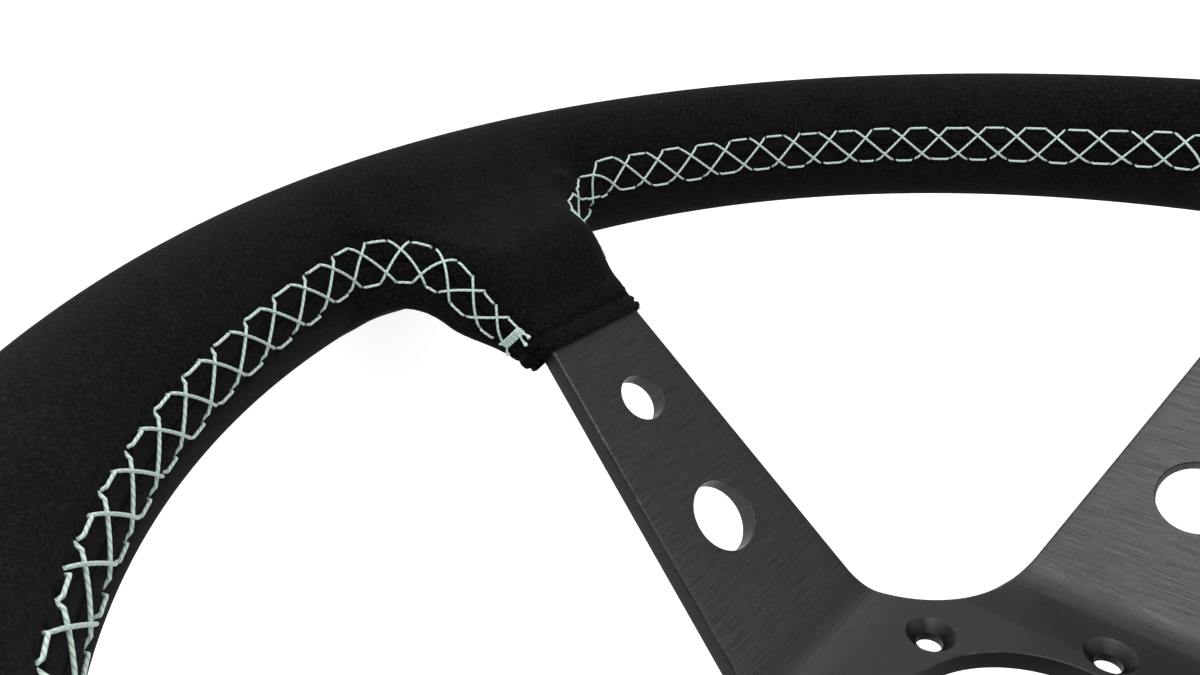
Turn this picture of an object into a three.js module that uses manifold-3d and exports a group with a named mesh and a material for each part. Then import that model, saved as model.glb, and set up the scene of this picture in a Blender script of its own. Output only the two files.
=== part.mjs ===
// Deep-dish three-spoke steering wheel with a six-hole boss and a suede grip.
// Millimetres, +Z up. The wheel stands upright: it spins about Y and its face looks towards -Y.
// The origin is the wheel's axis at the mounting face, the back of the boss.
// Everything is drawn in the wheel's own plane (x right, y up, z towards the driver)
// and the whole group is turned upright at the end.
import * as THREE from 'three';
import { mergeVertices } from 'three/addons/utils/BufferGeometryUtils.js';
import Module from 'manifold-3d';

const wasm = await Module();
wasm.setup();

// Driving dimensions
const PLATE_THICKNESS = 4.5;
const BOLT_CIRCLE_RADIUS = 35;
const BOLT_COUNT = 6;
const BOLT_HOLE_RADIUS = 2.75;
const COUNTERSINK_RADIUS = 5.05;
const CENTRE_HOLE_RADIUS = 27.7;
const BOSS_TOP = 47.3;
const BOSS_TOP_HALF_WIDTH = 33;
const BOSS_TOP_FILLET = 24;
const BOSS_SHOULDER_HEIGHT = 20.5;
const BOSS_SHOULDER_HALF_WIDTH = 46;
const BOSS_SHOULDER_FILLET = 16;

const BEND_DISTANCE = 49.3;
const FIRST_BEND_RADIUS = 14;
const SECOND_BEND_RADIUS = 6.25;
const SPOKE_RISE = THREE.MathUtils.degToRad(43.5);
const BOTTOM_SPOKE_HALF_WIDTH = 22.2;
const SIDE_SPOKE_HALF_WIDTH = 21.2;
const SPOKE_TAPER = 0.1;
const SIDE_SPOKE_SHIFT = 2.1;
const SIDE_SPOKE_SWEEP = 0.168;
const VALLEY_RADIUS = 28;
const LARGE_HOLE_RADIUS = 7.9;
const SMALL_HOLE_RADIUS = 5.4;
const SMALL_HOLE_DISTANCE = 63.5;
const BOTTOM_LARGE_HOLE_DISTANCE = 32.5;
const SIDE_LARGE_HOLE_DISTANCE = 31;

const RIM_RADIUS = 153.9;
const RIM_HEIGHT = 80.4;
const GRIP_HALF_WIDTH = 13.7;
const GRIP_HALF_DEPTH = 17.1;

const RING_WIDTH = 12;
const RING_THICKNESS = 3;
const TAB_END = 160;
const RIVET_OFFSET = 7.5;
const RIVET_SHANK_RADIUS = 2.4;
const RIVET_HEAD_RADIUS = 4.2;
const RIVET_HEAD_HEIGHT = 2;

const SUEDE_THICKNESS = 1.1;
const GAP = 0.3;
const SLEEVE_END = 81.7;
const SLEEVE_WRAP = 1.45;
const SLEEVE_SPREAD = 0.45;
const SLEEVE_FILLET = 14;
const SLEEVE_FRONT_SWELL = 11;
const SLEEVE_REAR_SWELL = 8;
const SLEEVE_ROUNDNESS = 0.55;
const SLEEVE_SIDES = 16;
const LEAN_ENDS_BEFORE_BEND = 12;
const UPRIGHT_AFTER_BEND = 4;
const FLARE_STEPS = 4;
const FLARE_END = THREE.MathUtils.degToRad(84);
const RIM_SEGMENTS = 54;
const SECTION_SEGMENTS = 12;
const FOAM_FIRST_STATION = 2;
const THREAD_THICKNESS = 0.7;
const SEAM_WIDTH = 8;
const BUTT_SEAM_WIDTH = 3;
const BUTT_SEAM_REACH = 0.8 * Math.PI;

const BUTT_SEAM_ANGLES = [28, 90, 152];
const TURN = 2 * Math.PI;

// Derived heights, measured from the mounting face
const RING_BACK = RIM_HEIGHT - RING_THICKNESS / 2;
const TAB_MIDDLE = RING_BACK - GAP - PLATE_THICKNESS / 2;
const SECOND_BEND = BEND_DISTANCE + (TAB_MIDDLE - PLATE_THICKNESS / 2) / Math.tan(SPOKE_RISE);
const RISE_LENGTH = (TAB_MIDDLE - PLATE_THICKNESS / 2) / Math.sin(SPOKE_RISE);
const PLATE_MIDDLE = PLATE_THICKNESS / 2;
const SLEEVE_START = BEND_DISTANCE + SLEEVE_END * Math.cos(SPOKE_RISE);
const FLARE_START = SECOND_BEND - 5;

// The bottom spoke is straight, and the two side spokes mirror each other and sweep upwards.
const SPOKES = [
  {
    name: 'bottom',
    angle: -Math.PI / 2,
    shift: 0,
    sweep: 0,
    halfWidth: BOTTOM_SPOKE_HALF_WIDTH,
    largeHole: BOTTOM_LARGE_HOLE_DISTANCE,
  },
  ...[['left', Math.PI, 1], ['right', 0, -1]].map(([name, angle, side]) => ({
    name,
    angle,
    shift: side * SIDE_SPOKE_SHIFT,
    sweep: side * SIDE_SPOKE_SWEEP,
    halfWidth: SIDE_SPOKE_HALF_WIDTH,
    largeHole: SIDE_LARGE_HOLE_DISTANCE,
  })),
];

const materials = {
  aluminium: { color: 0x4a4c4f, roughness: 0.42, metalness: 0.9 },
  rawAluminium: { color: 0xb9bcc0, roughness: 0.45, metalness: 0.9 },
  foam: { color: 0x1a1a1b, roughness: 0.9, metalness: 0 },
  suede: { color: 0x151416, roughness: 0.95, metalness: 0 },
  thread: { color: 0xb9dccf, roughness: 0.6, metalness: 0 },
};

// ---- Solids ----

function solid(geometry) {
  const bare = geometry.clone();
  bare.deleteAttribute('normal');
  bare.deleteAttribute('uv');
  const merged = mergeVertices(bare, 1e-4);
  return new wasm.Manifold(new wasm.Mesh({
    numProp: 3,
    vertProperties: new Float32Array(merged.attributes.position.array),
    triVerts: new Uint32Array(merged.index.array),
  }));
}

function geometryOf(manifold) {
  const mesh = manifold.getMesh();
  const geometry = new THREE.BufferGeometry();
  geometry.setAttribute('position', new THREE.BufferAttribute(new Float32Array(mesh.vertProperties), 3));
  geometry.setIndex(Array.from(mesh.triVerts));
  geometry.computeVertexNormals();
  return geometry;
}

function union(solids) {
  return solids.reduce((whole, next) => whole.add(next));
}

// A prism of a plan shape, taller than the whole wheel
function prism(shape, curveSegments = 12) {
  const below = 20;
  const depth = 160;
  const geometry = new THREE.ExtrudeGeometry(shape, { depth, bevelEnabled: false, curveSegments });
  geometry.translate(0, 0, -below);
  return solid(geometry);
}

// A closed skin over rings of points that all have the same count
function loft(rings) {
  const count = rings[0].length;
  const points = rings.flat();
  const faces = [];
  for (let i = 0; i + 1 < rings.length; i += 1) {
    for (let j = 0; j < count; j += 1) {
      const a = i * count + j;
      const b = i * count + (j + 1) % count;
      faces.push(a, b, b + count, a, b + count, a + count);
    }
  }
  for (const [start, flip] of [[0, true], [(rings.length - 1) * count, false]]) {
    for (let j = 1; j + 1 < count; j += 1) {
      faces.push(start, start + (flip ? j + 1 : j), start + (flip ? j : j + 1));
    }
  }
  const geometry = new THREE.BufferGeometry().setFromPoints(points);
  geometry.setIndex(faces);
  return solid(geometry);
}

// ---- Spoke frame ----

// A point given by its distance out along the spoke, sideways across it, and height
function onSpoke(spoke, out, across, height) {
  const cos = Math.cos(spoke.angle);
  const sin = Math.sin(spoke.angle);
  return new THREE.Vector3(out * cos - across * sin, out * sin + across * cos, height);
}

// How far out along the spoke a given length of the bent plate reaches, from the first bend
function reach(length) {
  if (length < RISE_LENGTH) {
    return BEND_DISTANCE + length * Math.cos(SPOKE_RISE);
  }
  return SECOND_BEND + length - RISE_LENGTH;
}

function lengthAt(out) {
  if (out < SECOND_BEND) {
    return (out - BEND_DISTANCE) / Math.cos(SPOKE_RISE);
  }
  return RISE_LENGTH + out - SECOND_BEND;
}

function middleHeight(length) {
  return PLATE_MIDDLE + Math.min(length, RISE_LENGTH) * Math.sin(SPOKE_RISE);
}

function centreAcross(spoke, length) {
  return spoke.shift - spoke.sweep * length;
}

function halfWidth(spoke, length) {
  return spoke.halfWidth - SPOKE_TAPER * Math.min(length, SLEEVE_END);
}

// Side view of the bent plate: middle line with round bends, thickened both ways
function bentProfile(thickness, end) {
  const steps = 4;
  const firstTangent = FIRST_BEND_RADIUS * Math.tan(SPOKE_RISE / 2);
  const secondTangent = SECOND_BEND_RADIUS * Math.tan(SPOKE_RISE / 2);
  const line = [{ out: 0, height: PLATE_MIDDLE, tilt: 0 }];
  for (let i = 0; i <= steps; i += 1) {
    const tilt = SPOKE_RISE * i / steps;
    line.push({
      out: BEND_DISTANCE - firstTangent + FIRST_BEND_RADIUS * Math.sin(tilt),
      height: PLATE_MIDDLE + FIRST_BEND_RADIUS * (1 - Math.cos(tilt)),
      tilt,
    });
  }
  for (let i = 0; i <= steps; i += 1) {
    const tilt = SPOKE_RISE * (1 - i / steps);
    line.push({
      out: SECOND_BEND + secondTangent - SECOND_BEND_RADIUS * Math.sin(tilt),
      height: TAB_MIDDLE - SECOND_BEND_RADIUS * (1 - Math.cos(tilt)),
      tilt,
    });
  }
  line.push({ out: end, height: TAB_MIDDLE, tilt: 0 });
  const side = (sign) => line.map((p) => new THREE.Vector2(
    p.out - sign * Math.sin(p.tilt) * thickness / 2,
    p.height + sign * Math.cos(p.tilt) * thickness / 2,
  ));
  return new THREE.Shape([...side(-1), ...side(1).reverse()]);
}

// The bent strip that a spoke is cut from, wider than the spoke
function bentStrip(spoke, thickness, end) {
  const reachAcross = 38;
  const geometry = new THREE.ExtrudeGeometry(bentProfile(thickness, end), {
    depth: 2 * reachAcross, bevelEnabled: false,
  });
  geometry.translate(0, 0, -reachAcross);
  const out = onSpoke(spoke, 1, 0, 0);
  const across = onSpoke(spoke, 0, 1, 0);
  const frame = new THREE.Matrix4().makeBasis(out, new THREE.Vector3(0, 0, 1), across.clone().negate());
  geometry.applyMatrix4(frame);
  return solid(geometry);
}

// ---- Spoke plate ----

// A polygon whose corners carry a fillet radius
function filletedShape(corners) {
  const shape = new THREE.Shape();
  corners.forEach(({ point, radius }, i) => {
    const before = corners[(i + corners.length - 1) % corners.length].point;
    const after = corners[(i + 1) % corners.length].point;
    const toBefore = before.clone().sub(point).normalize();
    const toAfter = after.clone().sub(point).normalize();
    const halfAngle = Math.acos(THREE.MathUtils.clamp(toBefore.dot(toAfter), -1, 1)) / 2;
    const tangent = radius / Math.tan(halfAngle);
    const centre = point.clone().add(toBefore.clone().add(toAfter).normalize()
      .multiplyScalar(radius / Math.sin(halfAngle)));
    const start = point.clone().addScaledVector(toBefore, tangent);
    const finish = point.clone().addScaledVector(toAfter, tangent);
    const move = i === 0 ? 'moveTo' : 'lineTo';
    shape[move](start.x, start.y);
    if (radius > 0) {
      const clockwise = toBefore.cross(toAfter) > 0;
      const from = start.sub(centre).angle();
      const to = finish.sub(centre).angle();
      shape.absarc(centre.x, centre.y, radius, from, to, clockwise);
    }
  });
  return shape;
}

// One straight edge of a spoke in plan, from the first bend to the end of its tab
function spokeEdge(spoke, side, extra) {
  const lengths = [0, SLEEVE_END, RISE_LENGTH, RISE_LENGTH + TAB_END - SECOND_BEND];
  return lengths.map((length) => {
    const across = centreAcross(spoke, length) + side * (halfWidth(spoke, length) + extra);
    const p = onSpoke(spoke, reach(length), across, 0);
    return new THREE.Vector2(p.x, p.y);
  });
}

function crossing(a, b, c, d) {
  const ab = b.clone().sub(a);
  const cd = d.clone().sub(c);
  const t = c.clone().sub(a).cross(cd) / ab.cross(cd);
  return a.clone().addScaledVector(ab, t);
}

function plateOutline() {
  const [bottom, left, right] = SPOKES;
  const corner = (point, radius = 0) => ({ point, radius });
  const valley = (edge, next) => corner(crossing(edge[1], edge[0], next[0], next[1]), VALLEY_RADIUS);
  const edges = (spoke) => [spokeEdge(spoke, -1, 0), spokeEdge(spoke, 1, 0)];
  const [bottomFirst, bottomLast] = edges(bottom);
  const [rightFirst, rightLast] = edges(right);
  const [leftFirst, leftLast] = edges(left);
  const outer = (edge) => edge.slice(1).map((point) => corner(point));
  const back = (edge) => edge.slice(1).reverse().map((point) => corner(point));
  const shoulder = (side) => corner(
    new THREE.Vector2(side * BOSS_SHOULDER_HALF_WIDTH, BOSS_SHOULDER_HEIGHT),
    BOSS_SHOULDER_FILLET,
  );
  const top = (side) => corner(new THREE.Vector2(side * BOSS_TOP_HALF_WIDTH, BOSS_TOP), BOSS_TOP_FILLET);
  return filletedShape([
    ...outer(bottomFirst),
    ...back(bottomLast),
    valley(bottomLast, rightFirst),
    ...outer(rightFirst),
    ...back(rightLast),
    shoulder(1),
    top(1),
    top(-1),
    shoulder(-1),
    ...outer(leftFirst),
    ...back(leftLast),
    valley(leftLast, bottomFirst),
  ]);
}

function roundCutter(radius, length, segments = 24) {
  const geometry = new THREE.CylinderGeometry(radius, radius, length, segments);
  geometry.rotateX(Math.PI / 2);
  return geometry;
}

// The flat middle of the plate, up to just short of the first bends
function bossBlock() {
  const half = BEND_DISTANCE - 6;
  const top = BOSS_TOP + 1;
  const block = new THREE.BoxGeometry(2 * half, half + top, PLATE_THICKNESS);
  block.translate(0, (top - half) / 2, PLATE_MIDDLE);
  return solid(block);
}

// A countersunk screw hole on the bolt circle
function screwHole(turn) {
  const coneDepth = COUNTERSINK_RADIUS - BOLT_HOLE_RADIUS;
  const cone = new THREE.LatheGeometry([
    new THREE.Vector2(0, -1),
    new THREE.Vector2(BOLT_HOLE_RADIUS, -1),
    new THREE.Vector2(BOLT_HOLE_RADIUS, PLATE_THICKNESS - coneDepth),
    new THREE.Vector2(COUNTERSINK_RADIUS, PLATE_THICKNESS),
    new THREE.Vector2(COUNTERSINK_RADIUS, PLATE_THICKNESS + 1),
    new THREE.Vector2(0, PLATE_THICKNESS + 1),
  ], 16);
  cone.rotateX(Math.PI / 2);
  cone.translate(BOLT_CIRCLE_RADIUS * Math.cos(turn), BOLT_CIRCLE_RADIUS * Math.sin(turn), 0);
  return solid(cone);
}

// A round hole square through the rising part of a spoke
function lighteningHole(spoke, distance, radius) {
  const cutter = roundCutter(radius, 20);
  const normal = onSpoke(spoke, -Math.sin(SPOKE_RISE), 0, Math.cos(SPOKE_RISE));
  cutter.applyQuaternion(new THREE.Quaternion().setFromUnitVectors(new THREE.Vector3(0, 0, 1), normal));
  const at = onSpoke(spoke, reach(distance), centreAcross(spoke, distance), middleHeight(distance));
  cutter.translate(at.x, at.y, at.z);
  return solid(cutter);
}

function spokePlate() {
  const strips = SPOKES.map((spoke) => bentStrip(spoke, PLATE_THICKNESS, TAB_END));
  let plate = union([bossBlock(), ...strips]).intersect(prism(plateOutline(), 6));
  plate = plate.subtract(solid(roundCutter(CENTRE_HOLE_RADIUS, 20, 48)));
  for (let i = 0; i < BOLT_COUNT; i += 1) {
    plate = plate.subtract(screwHole(TURN * i / BOLT_COUNT));
  }
  for (const spoke of SPOKES) {
    plate = plate.subtract(lighteningHole(spoke, spoke.largeHole, LARGE_HOLE_RADIUS));
    plate = plate.subtract(lighteningHole(spoke, SMALL_HOLE_DISTANCE, SMALL_HOLE_RADIUS));
    plate = plate.subtract(rivetHole(spoke, -1)).subtract(rivetHole(spoke, 1));
  }
  return plate;
}

// ---- Rim core ----

function rimCoreRing(clearance) {
  const half = RING_WIDTH / 2 + clearance;
  const profile = [
    new THREE.Vector2(RIM_RADIUS - half, RING_BACK - clearance),
    new THREE.Vector2(RIM_RADIUS + half, RING_BACK - clearance),
    new THREE.Vector2(RIM_RADIUS + half, RING_BACK + RING_THICKNESS + clearance),
    new THREE.Vector2(RIM_RADIUS - half, RING_BACK + RING_THICKNESS + clearance),
    new THREE.Vector2(RIM_RADIUS - half, RING_BACK - clearance),
  ];
  const geometry = new THREE.LatheGeometry(profile, RIM_SEGMENTS);
  geometry.rotateX(Math.PI / 2);
  return solid(geometry);
}

// A turned profile set upright where one of a spoke's two rivets goes
function atRivet(spoke, side, profile) {
  const geometry = new THREE.LatheGeometry(profile, 12);
  geometry.rotateX(Math.PI / 2);
  const length = RISE_LENGTH + RIM_RADIUS - SECOND_BEND;
  const at = onSpoke(spoke, RIM_RADIUS, centreAcross(spoke, length) + side * RIVET_OFFSET, 0);
  geometry.translate(at.x, at.y, 0);
  return solid(geometry);
}

// A solid rivet through the tab and the ring; clearance makes the hollow that holds it
function rivet(spoke, side, clearance) {
  const back = TAB_MIDDLE - PLATE_MIDDLE - GAP;
  const front = RING_BACK + RING_THICKNESS + GAP;
  const shank = RIVET_SHANK_RADIUS + clearance;
  const head = RIVET_HEAD_RADIUS + clearance;
  const height = RIVET_HEAD_HEIGHT + clearance;
  return atRivet(spoke, side, [
    new THREE.Vector2(0, back - height),
    new THREE.Vector2(head * 0.6, back - height * 0.85),
    new THREE.Vector2(head, back),
    new THREE.Vector2(shank, back),
    new THREE.Vector2(shank, front),
    new THREE.Vector2(head, front),
    new THREE.Vector2(head * 0.6, front + height * 0.85),
    new THREE.Vector2(0, front + height),
  ]);
}

function rivetHole(spoke, side) {
  const beyond = 8;
  const radius = RIVET_SHANK_RADIUS + GAP;
  const back = TAB_MIDDLE - PLATE_MIDDLE - beyond;
  const front = RING_BACK + RING_THICKNESS + beyond;
  return atRivet(spoke, side, [
    new THREE.Vector2(0, back),
    new THREE.Vector2(radius, back),
    new THREE.Vector2(radius, front),
    new THREE.Vector2(0, front),
  ]);
}

// ---- Grip ----

function gripRing(inset) {
  const profile = [];
  for (let i = 0; i <= SECTION_SEGMENTS; i += 1) {
    const turn = TURN * (i % SECTION_SEGMENTS) / SECTION_SEGMENTS;
    profile.push(new THREE.Vector2(
      RIM_RADIUS + (GRIP_HALF_WIDTH - inset) * Math.cos(turn),
      RIM_HEIGHT + (GRIP_HALF_DEPTH - inset) * Math.sin(turn),
    ));
  }
  const geometry = new THREE.LatheGeometry(profile, RIM_SEGMENTS);
  geometry.rotateX(Math.PI / 2);
  return solid(geometry);
}

// Half width of a spoke's sleeve: it spreads evenly, then flares into the rim in a round fillet
function sleeveHalfWidth(spoke, out) {
  const along = THREE.MathUtils.clamp(out - FLARE_START, 0, SLEEVE_FILLET * Math.sin(FLARE_END));
  const flare = SLEEVE_FILLET - Math.sqrt(SLEEVE_FILLET ** 2 - along ** 2);
  const spread = SLEEVE_SPREAD * (Math.min(out, FLARE_START + along) - SLEEVE_START);
  return halfWidth(spoke, SLEEVE_END) + SLEEVE_WRAP + spread + flare;
}

// How far out a sleeve's sections are: two before its flare, then evenly spaced round the fillet
function sectionStations() {
  const stations = [SLEEVE_START, (SLEEVE_START + FLARE_START) / 2];
  for (let i = 0; i <= FLARE_STEPS; i += 1) {
    stations.push(FLARE_START + SLEEVE_FILLET * Math.sin(FLARE_END * i / FLARE_STEPS));
  }
  return stations;
}

// The sleeve's sections lean with the spoke and stand upright by the time they reach the rim
function sleeveTilt(out) {
  const leanEnds = SECOND_BEND - LEAN_ENDS_BEFORE_BEND;
  return SPOKE_RISE * (1 - THREE.MathUtils.smoothstep(out, leanEnds, SECOND_BEND + UPRIGHT_AFTER_BEND));
}

function sleeveSection(spoke, inset, out) {
  const tilt = sleeveTilt(out);
  const swell = THREE.MathUtils.smoothstep(out, SLEEVE_START, RIM_RADIUS);
  const front = PLATE_MIDDLE + SLEEVE_WRAP + SLEEVE_FRONT_SWELL * swell ** 1.5 - inset;
  const rear = PLATE_MIDDLE + SLEEVE_WRAP + SLEEVE_REAR_SWELL * swell - inset;
  const half = sleeveHalfWidth(spoke, out) - inset;
  const length = lengthAt(out);
  const round = (value) => Math.sign(value) * Math.abs(value) ** SLEEVE_ROUNDNESS;
  const ring = [];
  for (let j = 0; j < SLEEVE_SIDES; j += 1) {
    const turn = TURN * j / SLEEVE_SIDES;
    const rise = round(Math.sin(turn));
    const lift = rise * (rise > 0 ? front : rear);
    ring.push(onSpoke(
      spoke,
      out - lift * Math.sin(tilt),
      centreAcross(spoke, length) + half * round(Math.cos(turn)),
      middleHeight(length) + lift * Math.cos(tilt),
    ));
  }
  return ring;
}

// A sleeve from one of its sections to the middle of the rim, all set in by the same amount
function sleeve(spoke, inset, firstStation) {
  const stations = [...sectionStations(), RIM_RADIUS - 4];
  return loft(stations.slice(firstStation).map((out) => sleeveSection(spoke, inset, out)));
}

function gripBody(inset, firstStation) {
  return union([gripRing(inset), ...SPOKES.map((spoke) => sleeve(spoke, inset, firstStation))]);
}

// The plate's tab and root, thickened and widened by a clearance
function plateHollow(spoke, clearance) {
  const first = spokeEdge(spoke, -1, clearance);
  const last = spokeEdge(spoke, 1, clearance);
  const outline = new THREE.Shape([...first, ...last.reverse()]);
  return bentStrip(spoke, PLATE_THICKNESS + 2 * clearance, TAB_END + clearance)
    .intersect(prism(outline));
}

function foamGrip() {
  const lugs = gripBody(SUEDE_THICKNESS + GAP, FOAM_FIRST_STATION);
  const hollows = SPOKES.flatMap((spoke) => [
    plateHollow(spoke, GAP),
    rivet(spoke, -1, GAP),
    rivet(spoke, 1, GAP),
  ]);
  return lugs.subtract(union([rimCoreRing(GAP), ...hollows]));
}

// A wedge of the wheel between two angles in degrees, counted anticlockwise
function wedge(from, to) {
  const reachOut = 260;
  const points = [new THREE.Vector2(0, 0)];
  const steps = Math.ceil((to - from) / 30);
  for (let i = 0; i <= steps; i += 1) {
    const turn = THREE.MathUtils.degToRad(THREE.MathUtils.lerp(from, to, i / steps));
    points.push(new THREE.Vector2(reachOut * Math.cos(turn), reachOut * Math.sin(turn)));
  }
  return prism(new THREE.Shape(points));
}

function suedePanels() {
  const inner = union([
    gripBody(SUEDE_THICKNESS, FOAM_FIRST_STATION - 1),
    ...SPOKES.map((spoke) => plateHollow(spoke, GAP)),
  ]);
  const skin = gripBody(0, 0).subtract(inner);
  const halfGap = THREE.MathUtils.radToDeg(GAP / 2 / RIM_RADIUS);
  const [first, top, last] = BUTT_SEAM_ANGLES;
  return [
    ['suede_panel_upper_right', skin.intersect(wedge(first + halfGap, top - halfGap))],
    ['suede_panel_upper_left', skin.intersect(wedge(top + halfGap, last - halfGap))],
    ['suede_panel_lower', skin.intersect(wedge(last + halfGap, first + 360 - halfGap))],
  ];
}

// ---- Threads ----

// A flat strip along stations that give its middle, its outward side and its width direction
function strip(stations, width, thickness) {
  return loft(stations.map(({ point, outward, across }) => {
    const place = (out, over) => point.clone()
      .addScaledVector(outward, out)
      .addScaledVector(across, over * width / 2);
    return [place(0, -1), place(thickness, -1), place(thickness, 1), place(0, 1)];
  }));
}

function sleeveWall(spoke, side, out) {
  const length = lengthAt(out);
  const across = centreAcross(spoke, length) + side * sleeveHalfWidth(spoke, out);
  return onSpoke(spoke, out, across, middleHeight(length));
}

// Stations of a seam down one side of a spoke's sleeve, from the sleeve's end out to the rim
function sleeveStations(spoke, side) {
  const rimInside = RIM_RADIUS - GRIP_HALF_WIDTH;
  const [end, ...others] = sectionStations();
  const stations = [end + 1, ...others].map((out) => {
    const wall = sleeveWall(spoke, side, out);
    const along = wall.clone().sub(sleeveWall(spoke, side, out - 0.05)).setZ(0).normalize();
    const outward = new THREE.Vector3(-side * along.y, side * along.x, 0);
    const point = wall.addScaledVector(outward, GAP + 0.15);
    const across = onSpoke(spoke, -Math.sin(sleeveTilt(out)), 0, Math.cos(sleeveTilt(out)));
    return { point, outward, across };
  });
  return stations.filter(({ point }) => Math.hypot(point.x, point.y) < rimInside - 2);
}

function rimStations(from, to) {
  const inner = RIM_RADIUS - GRIP_HALF_WIDTH - GAP;
  const steps = Math.ceil(Math.abs(to - from) / 5);
  const stations = [];
  for (let i = 0; i <= steps; i += 1) {
    const turn = THREE.MathUtils.degToRad(THREE.MathUtils.lerp(from, to, i / steps));
    const outward = new THREE.Vector3(-Math.cos(turn), -Math.sin(turn), 0);
    stations.push({
      point: outward.clone().multiplyScalar(-inner).setZ(RIM_HEIGHT),
      outward,
      across: new THREE.Vector3(0, 0, 1),
    });
  }
  return stations;
}

// The seam thread of one window of the wheel, from a sleeve's end round the rim to the next sleeve's end
function innerSeam(from, to) {
  const clearOfFlare = 3;
  const first = sleeveStations(from, 1);
  const last = sleeveStations(to, -1).reverse();
  const angleOf = ({ point }) => THREE.MathUtils.radToDeg(Math.atan2(point.y, point.x));
  const start = angleOf(first[first.length - 1]);
  const end = angleOf(last[0]);
  const span = THREE.MathUtils.euclideanModulo(end - start, 360);
  const stations = [...first, ...rimStations(start + clearOfFlare, start + span - clearOfFlare), ...last];
  return strip(stations, SEAM_WIDTH, THREAD_THICKNESS);
}

function innerSeams() {
  const [bottom, left, right] = SPOKES;
  return [
    ['seam_thread_lower_left', innerSeam(left, bottom)],
    ['seam_thread_lower_right', innerSeam(bottom, right)],
    ['seam_thread_top', innerSeam(right, left)],
  ];
}

// Stitches over a butt joint: a band round the grip, open on the inner side where the seam runs
function buttSeam(angle) {
  const turn = THREE.MathUtils.degToRad(angle);
  const radial = new THREE.Vector3(Math.cos(turn), Math.sin(turn), 0);
  const around = new THREE.Vector3(-Math.sin(turn), Math.cos(turn), 0);
  const stations = [];
  const steps = 18;
  for (let i = 0; i <= steps; i += 1) {
    const section = THREE.MathUtils.lerp(-BUTT_SEAM_REACH, BUTT_SEAM_REACH, i / steps);
    const c = Math.cos(section);
    const s = Math.sin(section);
    const outward = radial.clone().multiplyScalar(c / GRIP_HALF_WIDTH)
      .setZ(s / GRIP_HALF_DEPTH)
      .normalize();
    const point = radial.clone().multiplyScalar(RIM_RADIUS + GRIP_HALF_WIDTH * c)
      .setZ(RIM_HEIGHT + GRIP_HALF_DEPTH * s)
      .addScaledVector(outward, GAP + 0.05);
    stations.push({ point, outward, across: around });
  }
  return strip(stations, BUTT_SEAM_WIDTH, THREAD_THICKNESS);
}

// ---- Assembly ----

const wheel = new THREE.Group();

function addPart(name, manifold, material) {
  const mesh = new THREE.Mesh(geometryOf(manifold), new THREE.MeshStandardMaterial(material));
  mesh.name = name;
  wheel.add(mesh);
}

addPart('spoke_plate', spokePlate(), materials.aluminium);
addPart('rim_core_ring', SPOKES.reduce(
  (ring, spoke) => ring.subtract(rivetHole(spoke, -1)).subtract(rivetHole(spoke, 1)),
  rimCoreRing(0),
), materials.rawAluminium);
for (const spoke of SPOKES) {
  addPart(`rivet_${spoke.name}_1`, rivet(spoke, -1, 0), materials.rawAluminium);
  addPart(`rivet_${spoke.name}_2`, rivet(spoke, 1, 0), materials.rawAluminium);
}
addPart('foam_grip', foamGrip(), materials.foam);
for (const [name, panel] of suedePanels()) {
  addPart(name, panel, materials.suede);
}
for (const [name, seam] of innerSeams()) {
  addPart(name, seam, materials.thread);
}
BUTT_SEAM_ANGLES.forEach((angle, i) => {
  addPart(`butt_seam_thread_${i + 1}`, buttSeam(angle), materials.thread);
});

wheel.rotation.x = Math.PI / 2;

export default wheel;
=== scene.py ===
"""Suede-covered deep-dish steering wheel with three brushed spokes, on a pale studio floor."""
import math

import bmesh
import bpy
import numpy as np
from mathutils import Matrix, Vector
from mathutils.geometry import delaunay_2d_cdt


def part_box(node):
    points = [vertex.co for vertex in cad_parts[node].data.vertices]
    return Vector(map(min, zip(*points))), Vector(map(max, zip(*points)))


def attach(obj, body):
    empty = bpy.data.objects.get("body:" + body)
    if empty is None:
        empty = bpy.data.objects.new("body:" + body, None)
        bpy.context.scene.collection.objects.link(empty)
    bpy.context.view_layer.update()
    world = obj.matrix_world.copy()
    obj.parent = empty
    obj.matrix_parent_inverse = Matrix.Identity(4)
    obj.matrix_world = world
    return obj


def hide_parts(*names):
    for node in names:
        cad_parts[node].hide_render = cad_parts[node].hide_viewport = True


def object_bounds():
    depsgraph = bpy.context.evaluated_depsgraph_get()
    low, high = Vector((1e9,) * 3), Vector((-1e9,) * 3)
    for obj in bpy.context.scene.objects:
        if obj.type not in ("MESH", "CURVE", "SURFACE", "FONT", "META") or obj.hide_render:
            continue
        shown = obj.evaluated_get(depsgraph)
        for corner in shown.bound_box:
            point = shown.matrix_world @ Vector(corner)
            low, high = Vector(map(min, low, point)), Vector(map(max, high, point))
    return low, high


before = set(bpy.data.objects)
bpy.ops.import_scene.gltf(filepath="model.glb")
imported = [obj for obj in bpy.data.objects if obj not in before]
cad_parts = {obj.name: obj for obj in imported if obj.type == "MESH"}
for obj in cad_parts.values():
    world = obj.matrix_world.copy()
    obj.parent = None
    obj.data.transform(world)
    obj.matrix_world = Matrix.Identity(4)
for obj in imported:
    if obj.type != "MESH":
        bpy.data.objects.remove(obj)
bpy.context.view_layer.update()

MM = 0.001
RNG = np.random.default_rng(7)
TAU = 2 * math.pi


def new_object(name, data):
    obj = bpy.data.objects.new(name, data)
    bpy.context.scene.collection.objects.link(obj)
    return obj


# ---- Camera ----

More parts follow.
